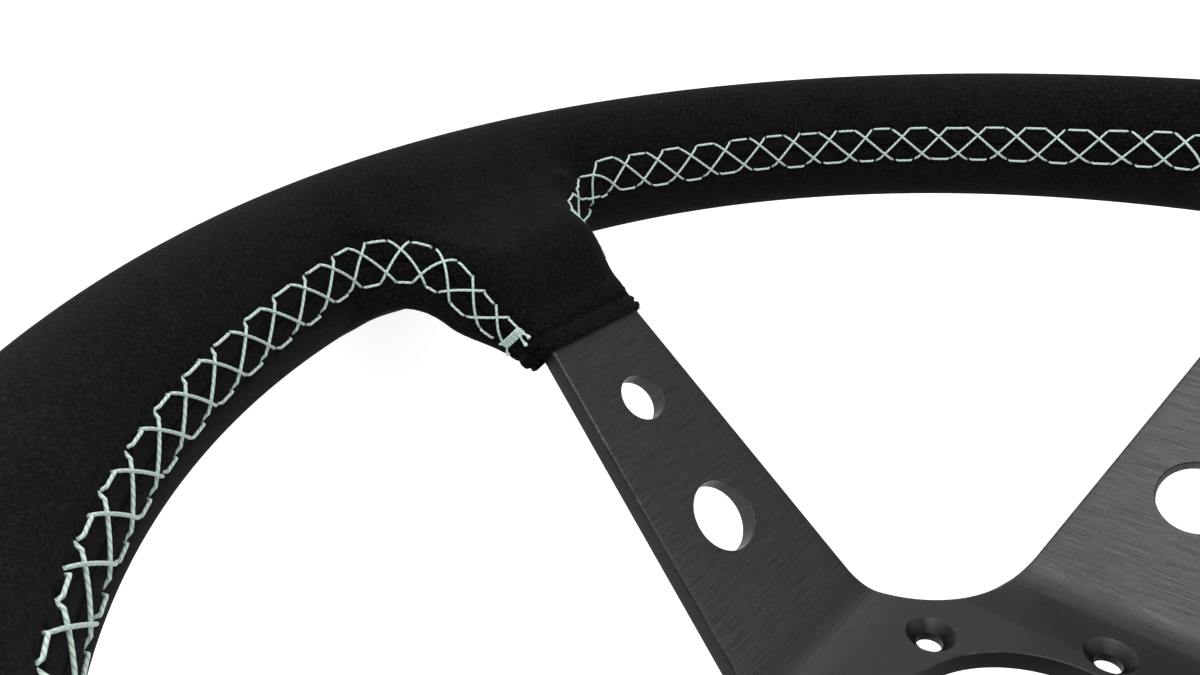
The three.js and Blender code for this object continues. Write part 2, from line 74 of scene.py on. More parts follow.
def look(eye, right, up, forward, focal):
    data = bpy.data.cameras.new("photo_camera")
    data.sensor_fit = "HORIZONTAL"
    data.sensor_width = 36.0
    data.lens = focal
    data.clip_start = 0.005
    data.clip_end = 30.0
    data.dof.use_dof = False
    camera = new_object("photo_camera", data)
    axes = Matrix((right, up, -forward)).transposed()
    camera.matrix_world = Matrix.Translation(eye) @ axes.to_4x4()
    bpy.context.scene.camera = camera


look(
    eye=Vector((0.138186, -0.150984, 0.024547)),
    right=Vector((-0.672360, 0.039680, 0.739160)),
    up=Vector((-0.347955, -0.898304, -0.268286)),
    forward=Vector((-0.653345, 0.437579, -0.617790)),
    focal=28.3226,
)


# ---- Sizes, in millimetres, in the wheel's own plane: x right, y up, z towards the driver ----

ring_low, ring_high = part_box("rim_core_ring")
plate_low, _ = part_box("spoke_plate")
RING_HALF_WIDTH = 6.0
RING_HALF_THICKNESS = 1.5
RIM_R = ring_high.x / MM - RING_HALF_WIDTH
RIM_Z = -(ring_low.y + ring_high.y) / 2 / MM
GRIP_HALF_WIDTH = 13.7
GRIP_HALF_DEPTH = 17.1

PLATE_HALF = 2.25
RISE = math.radians(43.5)
SIN, COS = math.sin(RISE), math.cos(RISE)
BEND = 49.3
BEND_RADIUS = 14.0
BEND_REACH = BEND_RADIUS * math.tan(RISE / 2)
SECOND_RADIUS = 6.25
SECOND_REACH = SECOND_RADIUS * math.tan(RISE / 2)
TAB_Z = -plate_low.y / MM - PLATE_HALF
RISE_LENGTH = (TAB_Z - PLATE_HALF) / SIN
SECOND_BEND = BEND + RISE_LENGTH * COS
TAB_END = 160.0
SLEEVE_END = 81.7
SLEEVE_OUT = BEND + SLEEVE_END * COS
TAPER = 0.1
VALLEY_RADIUS = 27.9
CENTRE_HOLE = 27.7
BOLT_CIRCLE = 35.0
BOLT_COUNT = 6
BOLT_HOLE = 2.75
LARGE_HOLE = 7.9
SMALL_HOLE = 5.4
SMALL_HOLE_AT = 63.5
# x, y and fillet radius of the boss's upper corners on one side
BOSS_CORNERS = ((46, 20.5, 16), (33, 47.3, 24))

SLEEVE_WRAP = 1.45
FRONT_SWELL = 11.0
REAR_SWELL = 8.0
SUEDE = 1.0
STITCH_PITCH = 9.9
BUTT_SEAMS = (28, 90, 152)


class Spoke:
    """A spoke's place and size. Its pairs are for its anticlockwise side, then for its clockwise one:
    how fast the sleeve spreads there, and how far the seam's end lies behind the plate's middle."""

    def __init__(self, name, angle, half_width, shift, sweep, large_hole, spread, seam_drop):
        self.name = name
        self.spread = spread
        self.seam_drop = seam_drop
        self.angle = math.radians(angle)
        self.half_width = half_width
        self.shift = shift
        self.sweep = sweep
        self.large_hole = large_hole
        self.cos = math.cos(self.angle)
        self.sin = math.sin(self.angle)

    def frame(self, x, y):
        """(distance out, distance across) of points in the wheel's plane."""
        return x * self.cos + y * self.sin, y * self.cos - x * self.sin

    def place(self, out, across):
        return out * self.cos - across * self.sin, out * self.sin + across * self.cos

    def centre(self, length):
        return self.shift - self.sweep * length

    def half(self, length):
        return self.half_width - TAPER * np.clip(length, 0, SLEEVE_END)


BOTTOM = Spoke("bottom", -90, 22.2, 0.0, 0.0, 32.5, (0.70, 0.02), (0.2, 6.0))
LEFT = Spoke("left", 180, 21.2, 2.1, 0.168, 31.0, (0.45, 0.45), (0.5, 0.5))
RIGHT = Spoke("right", 0, 21.2, -2.1, -0.168, 31.0, (0.45, 0.45), (0.5, 0.5))
SPOKES = (BOTTOM, LEFT, RIGHT)


def to_world(points):
    points = np.asarray(points, float)
    return np.stack([points[:, 0], -points[:, 2], points[:, 1]], axis=1) * MM


def smooth(x, low, high):
    t = np.clip((x - low) / (high - low), 0, 1)
    return t * t * (3 - 2 * t)


def soft_min(a, b, round_over):
    share = np.clip(0.5 + 0.5 * (b - a) / round_over, 0, 1)
    return b + (a - b) * share - round_over * share * (1 - share)


def length_at(out):
    """The length along a spoke's bent middle, from its first bend, at a distance out."""
    return np.where(out < SECOND_BEND, (out - BEND) / COS, RISE_LENGTH + out - SECOND_BEND)


# ---- The shape of the covered grip, as a distance in millimetres ----

FLARE_START = SECOND_BEND - 5.5
FLARE_RADIUS = 14.0
FLARE_END = math.radians(84)
INTO_RIM = 7.0


def flare_reach(out):
    return np.clip(out - FLARE_START, 0, FLARE_RADIUS * math.sin(FLARE_END))


def sleeve_straight(spoke, out, side):
    """Half width of the sleeve towards one side, without its flare into the rim."""
    slope = np.where(np.asarray(side) > 0, spoke.spread[0], spoke.spread[1])
    spread = slope * np.clip(np.minimum(out, FLARE_START + flare_reach(out)) - SLEEVE_OUT, 0, None)
    return spoke.half(SLEEVE_END) + SLEEVE_WRAP + spread


def sleeve_half(spoke, out, side):
    """Half width of the sleeve towards one side: it spreads evenly, then flares into the rim."""
    flare = FLARE_RADIUS - np.sqrt(FLARE_RADIUS**2 - flare_reach(out) ** 2)
    return sleeve_straight(spoke, out, side) + flare


def rim_distance(x, y, z):
    wide, deep = np.hypot(x, y) - RIM_R, z - RIM_Z
    near = np.hypot(wide / GRIP_HALF_WIDTH, deep / GRIP_HALF_DEPTH)
    slope = np.hypot(wide / GRIP_HALF_WIDTH**2, deep / GRIP_HALF_DEPTH**2)
    return near * (near - 1) / np.maximum(slope, 1e-6)


def along_spoke(spoke, x, y, z):
    """(distance out of the foot on the plate's middle, length along it, height over it, across)."""
    out, across = spoke.frame(x, y)
    length = (out - BEND) * COS + (z - PLATE_HALF) * SIN
    over = (z - PLATE_HALF) * COS - (out - BEND) * SIN
    foot = BEND + length * COS
    flat = smooth(foot, SECOND_BEND - 12, SECOND_BEND + 4)
    foot = foot * (1 - flat) + out * flat
    over = over * (1 - flat) + (z - TAB_Z) * flat
    line = length_at(foot)
    return foot, line, over, across - spoke.centre(line)


def sleeve_distance(spoke, x, y, z):
    foot, line, over, across = along_spoke(spoke, x, y, z)
    beyond = np.abs(across)
    swell = smooth(foot, SLEEVE_OUT, RIM_R)
    hem = 0.5 * smooth(line, SLEEVE_END + 3.5, SLEEVE_END + 7.5)
    front = PLATE_HALF + SLEEVE_WRAP + hem + FRONT_SWELL * swell**1.5
    corner_fill = 3.2 * smooth(line, SLEEVE_END - 4, SLEEVE_END + 6) * (1 - smooth(foot, 118, 132))
    wing = smooth(beyond - spoke.half(SLEEVE_END), 8, 24)
    rear = PLATE_HALF + SLEEVE_WRAP + hem + (REAR_SWELL - 5.0 * wing) * swell + corner_fill
    deep, middle = (front + rear) / 2, (front - rear) / 2
    corner = np.minimum(0.72 * deep, 9.0)
    lean = 0.55 * smooth(foot, SLEEVE_OUT + 1, SLEEVE_OUT + 14)
    wide = beyond + lean * np.clip(over, -8, 12) - (sleeve_half(spoke, foot, across) - corner)
    high = np.abs(over - middle) - (deep - corner)
    outside = np.hypot(np.maximum(wide, 0), np.maximum(high, 0))
    section = outside + np.minimum(np.maximum(wide, high), 0) - corner
    section += 6.0 * smooth(foot, RIM_R - 10, RIM_R)
    section += 2.5 * smooth(beyond - sleeve_straight(spoke, foot, across), 5, 13)
    ends = np.maximum(SLEEVE_END - 5 - line, foot - RIM_R)
    return np.maximum(section, ends)


def grip_distance(p):
    x, y, z = p[..., 0], p[..., 1], p[..., 2]
    d = rim_distance(x, y, z)
    for spoke in SPOKES:
        out, across = spoke.frame(x, y)
        near = (out > 85) & (np.abs(across) < 75)
        sleeve = sleeve_distance(spoke, x[near], y[near], z[near])
        d[near] = soft_min(d[near], sleeve, INTO_RIM)
    return d


def gradient(field, p, step=0.05):
    g = np.empty_like(p)
    for axis in range(3):
        move = np.zeros(3)
        move[axis] = step
        g[:, axis] = (field(p + move) - field(p - move)) / (2 * step)
    return g


def unit(v):
    return v / np.maximum(np.linalg.norm(v, axis=-1, keepdims=True), 1e-9)


def onto(field, p, lift=0.0):
    """The points moved along the field's slope to its surface, or to lift millimetres over it."""
    for _ in range(4):
        g = gradient(field, p)
        move = (field(p) - lift) / np.maximum((g * g).sum(1), 0.25)
        p = p - np.clip(move, -2, 2)[:, None] * g
    return p


def surface_net(field, low, high, cell):
    """(points, quads) of the surface where the field is zero."""
    counts = [int(math.ceil((b - a) / cell)) + 1 for a, b in zip(low, high)]
    axes = [a + cell * np.arange(n) for a, n in zip(low, counts)]
    values = np.empty(counts, np.float32)
    for i, x in enumerate(axes[0]):
        y, z = np.meshgrid(axes[1], axes[2], indexing="ij")
        values[i] = field(np.stack([np.full_like(y, x), y, z], axis=-1))
    inside = values < 0
    cells = np.zeros([n - 1 for n in counts], np.uint8)
    corners = [(i, j, k) for i in (0, 1) for j in (0, 1) for k in (0, 1)]
    for i, j, k in corners:
        cells += inside[i:counts[0] - 1 + i, j:counts[1] - 1 + j, k:counts[2] - 1 + k]
    active = np.argwhere((cells > 0) & (cells < 8))
    index = np.full(cells.shape, -1, np.int32)
    index[tuple(active.T)] = np.arange(len(active))
    total = np.zeros((len(active), 3))
    hits = np.zeros(len(active))
    for a in corners:
        for axis in range(3):
            if a[axis]:
                continue
            b = tuple(1 if n == axis else a[n] for n in range(3))
            va = values[tuple((active + a).T)]
            vb = values[tuple((active + b).T)]
            cut = (va < 0) != (vb < 0)
            t = np.where(cut, va / np.where(cut, va - vb, 1), 0)
            total[cut] += (np.array(a) + t[:, None] * (np.array(b) - np.array(a)))[cut]
            hits += cut
    points = np.array(low) + cell * (active + total / hits[:, None])
    quads = []
    for axis in range(3):
        u, v = (axis + 1) % 3, (axis + 2) % 3
        here = [slice(None)] * 3
        there = [slice(None)] * 3
        here[axis], there[axis] = slice(0, -1), slice(1, None)
        change = inside[tuple(here)] != inside[tuple(there)]
        at = np.argwhere(change)
        at = at[(at[:, u] > 0) & (at[:, v] > 0)]
        rising = inside[tuple(at.T)]
        ring = []
        for du, dv in ((1, 1), (0, 1), (0, 0), (1, 0)):
            c = at.copy()
            c[:, u] -= du
            c[:, v] -= dv
            ring.append(index[tuple(np.minimum(c, np.array(cells.shape) - 1).T)])
        quad = np.stack(ring, axis=1)
        quad[~rising] = quad[~rising][:, ::-1]
        quads.append(quad[(quad >= 0).all(axis=1)])
    return points, np.concatenate(quads)


def relax(points, quads, rounds):
    """The points evened out between their neighbours."""
    pairs = np.concatenate([quads[:, [0, 1]], quads[:, [1, 2]], quads[:, [2, 3]], quads[:, [3, 0]]])
    count = np.bincount(pairs.ravel(), minlength=len(points))[:, None]
    for _ in range(rounds):
        total = np.zeros_like(points)
        for axis in range(3):
            total[:, axis] = np.bincount(pairs[:, 0], points[pairs[:, 1], axis], len(points))
            total[:, axis] += np.bincount(pairs[:, 1], points[pairs[:, 0], axis], len(points))
        points = 0.4 * points + 0.6 * total / np.maximum(count, 1)
    return points


def nearest(points, others):
    """(squared distance, number) of the other point nearest to each point."""
    apart, pick = np.empty(len(points)), np.empty(len(points), int)
    for start in range(0, len(points), 4000):
        part = slice(start, start + 4000)
        squares = ((points[part, None] - others[None]) ** 2).sum(-1)
        apart[part], pick[part] = squares.min(1), squares.argmin(1)
    return apart, pick


# ---- Mesh helpers ----

def add_mesh(name, points, faces, smooth_shading=True):
    mesh = bpy.data.meshes.new(name)
    mesh.from_pydata(to_world(points).tolist(), [], [list(map(int, f)) for f in faces])
    mesh.validate()
    if smooth_shading:
        mesh.shade_smooth()
    return new_object(name, mesh)


def add_values(mesh, name, values):
    layer = mesh.attributes.new(name, "FLOAT", "POINT")
    layer.data.foreach_set("value", np.asarray(values, np.float32))


def add_vectors(mesh, name, vectors):
    layer = mesh.attributes.new(name, "FLOAT_VECTOR", "POINT")
    layer.data.foreach_set("vector", np.asarray(vectors, np.float32).ravel())


def tubes(paths, radii, sides=8):
    """(points, quads, ends, along, around) of round threads down the paths, which all have one length."""
    paths = np.asarray(paths, float)
    count, length, _ = paths.shape
    radii = np.broadcast_to(np.asarray(radii, float), (count, length))
    ahead = unit(np.gradient(paths, axis=1))
    guide = unit(paths[:, -1] - paths[:, 0])
    side = np.cross(guide, [0.31, 0.52, 0.79])
    side = unit(side)[:, None, :] * np.ones((1, length, 1))
    side = unit(side - (side * ahead).sum(-1, keepdims=True) * ahead)
    other = np.cross(ahead, side)
    turn = TAU * np.arange(sides) / sides
    ring = (side[:, :, None] * np.cos(turn)[:, None] + other[:, :, None] * np.sin(turn)[:, None])
    points = paths[:, :, None] + ring * radii[:, :, None, None]
    number = np.arange(count * length * sides).reshape(count, length, sides)
    after = np.roll(number, -1, axis=2)
    quads = np.stack(
        [number[:, :-1], after[:, :-1], after[:, 1:], number[:, 1:]], axis=-1
    ).reshape(-1, 4)
    caps = [list(row[::-1]) for row in number[:, 0]] + [list(row) for row in number[:, -1]]
    steps = np.linalg.norm(np.diff(paths, axis=1), axis=-1)
    along = np.concatenate([np.zeros((count, 1)), np.cumsum(steps, axis=1)], axis=1)
    along = (along[:, :, None] * np.ones(sides)).ravel()
    around = (np.ones((count, length, 1)) * turn).ravel()
    return points.reshape(-1, 3), [list(q) for q in quads] + caps, along, around


# ---- Seams ----

SEAM_START = SLEEVE_OUT + 4.4
FIRST_STITCH_AT = 1.2
LAST_STITCH_BEFORE_END = 1.3
FLARE_FRONT = 5.8
RIM_FRONT = 0.8


def distances(points):
    """How far along a line each of its points is."""
    steps = np.linalg.norm(np.diff(points, axis=0), axis=1)
    return np.concatenate([[0], np.cumsum(steps)])


def evenly(points, step):
    along = distances(points)
    at = np.linspace(0, along[-1], int(along[-1] / step) + 1)
    return np.stack([np.interp(at, along, points[:, k]) for k in range(3)], axis=1)


def sleeve_edge(spoke, side):
    """A line along one side of a sleeve, from near its end to the rim's inner edge."""
    turns = np.linspace(0, FLARE_END, 14)
    straight = np.linspace(SEAM_START, FLARE_START, 6)[:-1]
    outs = np.concatenate([straight, FLARE_START + FLARE_RADIUS * np.sin(turns)])
    lines = length_at(outs)
    x, y = spoke.place(outs, spoke.centre(lines) + side * sleeve_half(spoke, outs, side))
    drop = spoke.seam_drop[0 if side > 0 else 1]
    z = np.minimum(PLATE_HALF + lines * SIN, TAB_Z) - drop + 5.9 * smooth(outs, 114, 128)
    return np.stack([x, y, z], axis=1)[np.hypot(x, y) < RIM_R - GRIP_HALF_WIDTH]


def window_edge(first, last):
    """A line from the first spoke's sleeve, round the inside of the rim, to the last spoke's."""
    start, finish = sleeve_edge(first, 1), sleeve_edge(last, -1)[::-1]
    a = math.atan2(start[-1][1], start[-1][0])
    span = (math.atan2(finish[0][1], finish[0][0]) - a) % TAU
    turns = a + np.linspace(0.02, span - 0.02, int(span * RIM_R / 3))
    fade = smooth(np.minimum(turns - a, a + span - turns) * RIM_R, 0, 34)
    low = TAB_Z + FLARE_FRONT
    height = low + (RIM_Z + RIM_FRONT - low) * fade
    inner = RIM_R - GRIP_HALF_WIDTH
    arc = np.stack([inner * np.cos(turns), inner * np.sin(turns), height], axis=1)
    line = evenly(np.concatenate([start, arc, finish]), 2.0)
    for _ in range(6):
        line[1:-1] = line[1:-1] / 2 + (line[:-2] + line[2:]) / 4
    return line


class Seam:
    """The line down the middle of two rows of stitches, from one spoke's sleeve to the next one's."""

    def __init__(self, name, first, last):
        self.name = name
        line = evenly(onto(grip_distance, window_edge(first, last)), 1.0)
        self.points = onto(grip_distance, line)
        self.normal = unit(gradient(grip_distance, self.points))
        self.ahead = unit(np.gradient(self.points, axis=0))
        self.up = unit(np.cross(self.ahead, self.normal))
        self.up *= np.sign(self.up[:, 2])[:, None]
        self.along = distances(self.points)
        self.length = self.along[-1]
        from_end = np.minimum(self.along, self.length - self.along)
        self.gap = 3.2 + 1.3 * smooth(from_end, 0, 34)
        # Stitches are a fifth closer together near the seam's ends.
        closeness = 1 / (0.8 + 0.2 * smooth(from_end, 34, 62))
        passed = np.cumsum(closeness) - closeness[0]
        limits = [FIRST_STITCH_AT, self.length - LAST_STITCH_BEFORE_END]
        first, last = np.interp(limits, self.along, passed)
        self.cells = round((last - first) * self.length / len(passed) / STITCH_PITCH)
        self.count = (passed - first) * self.cells / (last - first)

    def at(self, along, row):
        """Points near the grip at distances along the seam, and rows across it from -1 to 1."""
        pick = [np.interp(along, self.along, self.points[:, k]) for k in range(3)]
        up = [np.interp(along, self.along, self.up[:, k]) for k in range(3)]
        gap = np.interp(along, self.along, self.gap)
        return np.stack(pick, axis=-1) + np.stack(up, axis=-1) * (gap * row)[..., None]


SEAMS = (Seam("lower_left", LEFT, BOTTOM), Seam("lower_right", BOTTOM, RIGHT), Seam("top", RIGHT, LEFT))
DASH = 0.46
LOWER_OFFSET = 0.34
THREAD_RADIUS = 0.28
CREASE = 3.9
THREAD_STEPS = np.linspace(0, 1, 11)
# Where each cut tail starts, and how far it runs: along the seam and in rows across it
TAILS = (((0.6, 1.1), (-1.9, 0.32)), ((0.2, 0.7), (-2.2, -0.15)), ((0.5, -1.0), (-1.3, -0.3)))


def dip(share):
    """How far a thread has sunk into its holes, over a share of its length at each end."""
    t = THREAD_STEPS
    return 1 - np.minimum(1, np.minimum(t, 1 - t) / share)


def stitch_ends(seam):
    """(along, row) pairs of each stitch's two ends, in pitches, with how high its middle lies."""
    for k in range(seam.cells):
        yield (k + 0.02, 1), (k + DASH, 1), 0.42
        yield (k + LOWER_OFFSET + 0.02, -1), (min(k + LOWER_OFFSET + DASH, seam.cells), -1), 0.42
        if k + 1 < seam.cells:
            yield (k + DASH + 0.05, 1), (k + 1 + LOWER_OFFSET - 0.03, -1), 0.5
            yield (k + 0.98, 1), (k - 1 + LOWER_OFFSET + DASH + 0.05, -1), 0.95


def stitch_paths(seam):
    t = THREAD_STEPS
    rows, lifts = [], []
    for (a, row_a), (b, row_b), high in stitch_ends(seam):
        a, b = max(a, 0.0), max(b, 0.0)
        jitter = RNG.normal(0, 0.02, 2)
        count = a + jitter[0] + (b + jitter[1] - a - jitter[0]) * t
        along = np.interp(count, seam.count, seam.along)
        row = row_a + (row_b - row_a) * t + RNG.normal(0, 0.035)
        rows.append(np.stack([along, row], axis=-1))
        hump = np.sin(math.pi * t) ** 2 if high > 0.9 else np.sin(math.pi * t) * 0.3
        lifts.append(0.28 + (high - 0.42) * hump - 0.75 * dip(0.1) ** 1.5 + RNG.normal(0, 0.03))
    rows, lifts = np.array(rows), np.array(lifts)
    flat = seam.at(rows[..., 0].ravel(), rows[..., 1].ravel())
    return onto(grip_distance, flat, lifts.ravel()).reshape(len(rows), len(t), 3)


def wrap_paths(seam):
    """The turns of thread that finish each end of a seam, and its cut tails."""
    t = THREAD_STEPS
    wraps, tails = [], []
    for end, inward, last in ((0.2, 1, 0), (seam.length - 0.2, -1, -1)):
        for n in range(4):
            along = end + inward * (0.3 + 0.5 * n) + RNG.normal(0, 0.08, 1) + 0.35 * t
            row = 1.05 - 2.1 * t + RNG.normal(0, 0.04)
            points = seam.at(along, row)
            wraps.append(onto(grip_distance, points, 0.32 + 0.12 * n - 0.6 * dip(0.1)))
        for start, lean in TAILS:
            along = end + inward * (start[0] + lean[0] * t)
            row = start[1] + lean[1] * t + 0.05 * np.sin(6 * t + RNG.uniform(0, 6))
            points = seam.at(np.clip(along, 0, seam.length), row)
            beyond = np.clip(along, None, 0) + np.clip(along - seam.length, 0, None)
            points = points + seam.ahead[last] * beyond[:, None]
            tails.append(points + seam.normal[last] * (0.25 + 0.9 * t)[:, None])
    return np.array(wraps), np.array(tails)


# ---- Materials ----

class Shader:
    """A material's nodes, added one expression at a time."""

    def __init__(self, name):
        self.material = bpy.data.materials.new(name)
        self.material.use_nodes = True
        self.nodes = self.material.node_tree.nodes
        self.links = self.material.node_tree.links
        self.surface = self.nodes["Principled BSDF"]

    def set(self, socket, value):
        if isinstance(value, bpy.types.NodeSocket):
            self.links.new(value, socket)
        else:
            socket.default_value = value

    def add(self, kind, output=0, inputs=None, **settings):
        node = self.nodes.new(kind)
        for key, value in settings.items():
            setattr(node, key, value)
        for key, value in (inputs or {}).items():
            self.set(node.inputs[key], value)
        return node.outputs[output]

    def math(self, operation, a, b=0.0):
        return self.add("ShaderNodeMath", inputs={0: a, 1: b}, operation=operation)

    def plus(self, a, b):
        return self.math("ADD", a, b)

    def minus(self, a, b):
        return self.math("SUBTRACT", a, b)

    def times(self, a, b):
        return self.math("MULTIPLY", a, b)

    def blend(self, factor, a, b):
        return self.add("ShaderNodeMix", 2, {0: factor, 6: a, 7: b}, data_type="RGBA")

    def ramp(self, value, low, high, to_low=0.0, to_high=1.0):
        return self.add(
            "ShaderNodeMapRange",
            inputs={0: value, 1: low, 2: high, 3: to_low, 4: to_high},
            interpolation_type="SMOOTHSTEP",
        )

    def attribute(self, name, output="Fac"):
        return self.add("ShaderNodeAttribute", output, attribute_name=name)

    def place(self):
        return self.add("ShaderNodeTexCoord", "Object")

    def stretch(self, vector, scale):
        return self.add("ShaderNodeMapping", inputs={"Vector": vector, "Scale": scale})

    def noise(self, vector, scale, detail=2.0, roughness=0.5):
        return self.add(
            "ShaderNodeTexNoise",
            inputs={"Vector": vector, "Scale": scale, "Detail": detail, "Roughness": roughness},
        )

    def cells(self, vector, scale):
        """(distance, colour) of a cell pattern."""
        node = self.nodes.new("ShaderNodeTexVoronoi")
        self.set(node.inputs["Vector"], vector)
        node.inputs["Scale"].default_value = scale
        return node.outputs["Distance"], node.outputs["Color"]

    def join(self, x, y, z):
        return self.add("ShaderNodeCombineXYZ", inputs={0: x, 1: y, 2: z})

    def bump(self, height, distance, strength=1.0, under=None):
        inputs = {"Height": height, "Distance": distance, "Strength": strength}
        if under is not None:
            inputs["Normal"] = under
        return self.add("ShaderNodeBump", inputs=inputs)

    def finish(self, **inputs):
        for key, value in inputs.items():
            self.set(self.surface.inputs[key.replace("_", " ")], value)
        return self.material


def suede_material():
    s = Shader("black_suede_nap")
    at = s.place()
    clouds = s.noise(at, 26.0, 3.0, 0.6)
    brushed = s.noise(s.stretch(at, (1.0, 1.6, 0.55)), 150.0, 3.0, 0.6)
    mottle = s.noise(at, 1500.0, 3.0, 0.65)
    fibre = s.noise(at, 3400.0, 3.0, 0.75)
    tone = s.plus(s.times(clouds, 0.55), s.times(brushed, 0.45))
    nap = s.plus(s.times(mottle, 0.42), s.times(fibre, 0.58))
    base = s.blend(s.ramp(tone, 0.35, 0.68), (0.0024, 0.0024, 0.0032, 1), (0.0056, 0.0053, 0.0068, 1))
    base = s.blend(s.ramp(nap, 0.46, 0.64, 0.0, 0.95), base, (0.0170, 0.0162, 0.0195, 1))

    middle, pick = s.cells(s.stretch(at, (1.0, 1.25, 0.8)), 170.0)
    chosen = s.add("ShaderNodeSeparateColor", 0, {"Color": pick})
    speck = s.times(s.math("LESS_THAN", middle, 0.045), s.math("LESS_THAN", chosen, 0.055))
    base = s.blend(s.times(speck, 0.55), base, (0.16, 0.15, 0.13, 1))

    row = s.attribute("row")
    steps = s.attribute("stitch")
    groove = s.ramp(s.math("ABSOLUTE", row), 0.0, 0.14, 1.0, 0.0)
    holes = None
    for sign, starts in ((1, (0.0, DASH + 0.02)), (-1, (LOWER_OFFSET, LOWER_OFFSET + DASH + 0.02))):
        rise = s.times(s.minus(row, float(sign)), 5.0)
        for start in starts:
            phase = s.math("FRACT", s.plus(s.minus(steps, start), 0.5))
            run = s.times(s.minus(phase, 0.5), STITCH_PITCH)
            apart = s.math("SQRT", s.plus(s.math("POWER", rise, 2.0), s.math("POWER", run, 2.0)))
            hole = s.ramp(apart, 0.25, 1.5, 1.0, 0.0)
            holes = hole if holes is None else s.math("MAXIMUM", holes, hole)
    # Painted shade: the suede is darkened to near black in the seam's groove and in the needle holes, over
    # the same marks as the bump's dips.
    base = s.blend(s.times(s.math("MAXIMUM", groove, s.math("POWER", holes, 3.0)), 0.85),
                   base, (0.0015, 0.0015, 0.0018, 1))

    hem = s.attribute("hem")
    crease = s.ramp(s.math("ABSOLUTE", s.minus(hem, CREASE)), 0.0, 1.1, 1.0, 0.0)
    dips = s.plus(s.times(groove, 0.6), s.times(holes, 0.55))
    dips = s.plus(dips, s.times(crease, 0.75))
    lumps = s.times(s.noise(at, 240.0, 2.0, 0.5), 0.10)
    form = s.bump(s.minus(lumps, dips), 0.0009)
    fine = s.bump(nap, 0.00035, 1.0, form)
    return s.finish(
        Base_Color=base, Roughness=0.96, Normal=fine, Specular_IOR_Level=0.03,
        Sheen_Weight=0.06, Sheen_Roughness=0.5, Sheen_Tint=(0.34, 0.33, 0.36, 1),
    )


def thread_material():
    s = Shader("mint_twisted_thread")
    run, turn = s.attribute("run"), s.attribute("turn")
    twist = s.math("SINE", s.plus(s.times(run, 5.2), s.times(turn, 2.0)))
    ply = s.ramp(twist, -1.0, -0.25)
    fuzz = s.noise(s.place(), 5200.0, 2.0, 0.6)
    # Painted shade: the thread is darker in the grooves between its plies, where the bump below also sinks.
    color = s.blend(ply, (0.30, 0.42, 0.37, 1), (0.66, 0.84, 0.75, 1))
    color = s.blend(s.times(fuzz, 0.5), color, (0.80, 0.90, 0.84, 1))
    normal = s.bump(s.plus(ply, s.times(fuzz, 0.3)), 0.00012, 0.8)
    return s.finish(
        Base_Color=color, Roughness=0.62, Normal=normal, Sheen_Weight=0.25, Sheen_Roughness=0.4,
        Subsurface_Weight=0.08, Subsurface_Radius=(0.0006, 0.0006, 0.0006),
    )


def brushed_material():
    s = Shader("anodised_brushed_plate")
    run, across = s.attribute("grain_run"), s.attribute("grain_across")
    weight = s.attribute("grain_weight")
    at = s.place()
    fine = s.noise(s.join(s.times(run, 5.0), s.times(across, 0.09), 0.0), 1.0, 5.0, 0.8)
    coarse = s.noise(s.join(s.times(run, 2.6), s.times(across, 0.06), 3.0), 1.0, 3.0, 0.6)
    satin = s.noise(at, 2600.0, 2.0, 0.6)
    lines = s.plus(s.times(fine, 0.8), s.times(coarse, 0.2))
    lines = s.minus(lines, 0.5)
    streak = s.plus(s.times(lines, weight), 0.5)
    faint = s.times(s.minus(satin, 0.5), 0.14)
    tone = s.plus(streak, faint)
    color = s.blend(s.ramp(tone, 0.28, 0.72), (0.024, 0.024, 0.026, 1), (0.090, 0.090, 0.094, 1))
    # Darker where grain_weight is low: on the boss, and on the walls, where this adds to their painted
    # shade.
    color = s.blend(s.ramp(weight, 0.3, 0.75, 0.6, 0.0), color, (0.026, 0.026, 0.030, 1))
    # Painted shade: the plate's side walls and hole walls, countersinks included, are darkened to near
    # black.
    color = s.blend(s.times(s.attribute("wall"), 0.88), color, (0.010, 0.010, 0.011, 1))
    worn = s.times(s.attribute("edge"), s.ramp(s.noise(at, 160.0, 3.0, 0.6), 0.5, 0.8, 0.0, 0.35))
    color = s.blend(worn, color, (0.16, 0.165, 0.175, 1))
    rough = s.ramp(tone, 0.2, 0.8, 0.50, 0.34)
    normal = s.bump(tone, 0.00005, 0.55)
    return s.finish(
        Base_Color=color, Metallic=0.85, Roughness=rough, Normal=normal,
        Anisotropic=0.45, Tangent=s.attribute("grain_line", "Vector"),
    )


def raw_material():
    s = Shader("raw_turned_aluminium")
    at = s.place()
    grain = s.noise(s.stretch(at, (1.0, 6.0, 1.0)), 700.0, 3.0, 0.6)
    color = s.blend(grain, (0.42, 0.43, 0.45, 1), (0.62, 0.63, 0.65, 1))
    return s.finish(
        Base_Color=color, Metallic=0.95, Roughness=s.ramp(grain, 0.2, 0.8, 0.32, 0.52),
        Normal=s.bump(grain, 0.00004, 0.5),
    )


def foam_material():
    s = Shader("moulded_grip_foam")
    pores = s.ramp(s.cells(s.place(), 1300.0)[0], 0.1, 0.5)
    # Painted shade: the pores are darker than the foam around them.
    color = s.blend(pores, (0.006, 0.006, 0.006, 1), (0.028, 0.028, 0.029, 1))
    return s.finish(Base_Color=color, Roughness=0.9, Normal=s.bump(pores, 0.0002, 0.7))


def floor_material():
    s = Shader("pale_studio_floor")
    at = s.place()
    tone = s.noise(at, 4.0, 3.0, 0.5)
    color = s.blend(tone, (0.83, 0.83, 0.825, 1), (0.87, 0.87, 0.865, 1))
    return s.finish(
        Base_Color=color, Roughness=0.75, Emission_Color=(1, 1, 1, 1), Emission_Strength=0.72,
    )


SUEDE_LOOK = suede_material()
THREAD_LOOK = thread_material()
PLATE_LOOK = brushed_material()
RAW_LOOK = raw_material()
FOAM_LOOK = foam_material()


def dress(piece, material, node):
    piece.data.materials.append(material)
    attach(piece, "root")
    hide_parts(node)


# ---- Suede ----

